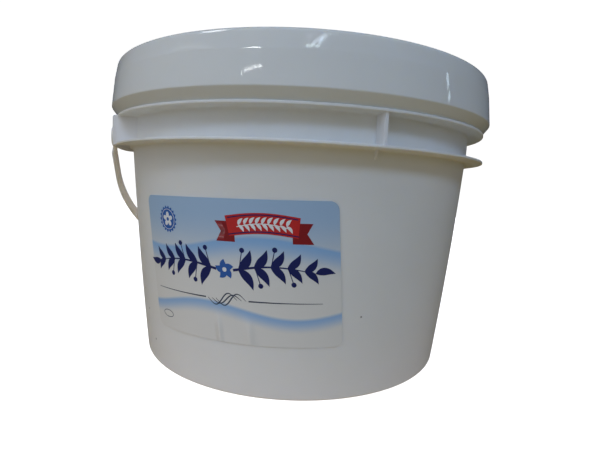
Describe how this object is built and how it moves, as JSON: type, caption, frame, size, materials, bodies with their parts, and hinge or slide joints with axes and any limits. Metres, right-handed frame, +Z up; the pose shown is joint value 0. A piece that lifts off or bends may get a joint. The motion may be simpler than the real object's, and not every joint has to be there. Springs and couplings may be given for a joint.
{
  "type": "food pail",
  "caption": "Shut round food pail with a press-on lid, a swinging bail handle and a printed label, for small fresh cheeses in brine.",
  "frame": {"origin": "middle of the base on the pail's axis, on the surface it stands on", "axes": "+Z up along the pail's axis, +X along the bail's pivots, -Y towards the front, where the gusset is; the bail hangs at the back"},
  "size_m": [0.2504, 0.245, 0.1736],
  "materials": {
    "pail": "moulded white polypropylene, semi-gloss",
    "lid": "moulded white polyethylene, glossy",
    "bail": "moulded white polypropylene, semi-gloss",
    "label": "printed coated paper, satin"
  },
  "bodies": {
    "pack": {"pail": "pail", "lid": "lid", "label": "label"},
    "handle": {"bail": "bail"}
  },
  "joints": [
    {"name": "bail_swing", "type": "hinge", "parent": "pack", "child": "handle", "pos_m": [0, 0, 0.1335], "axis": [1, 0, 0], "range_deg": [0, 268]}
  ]
}
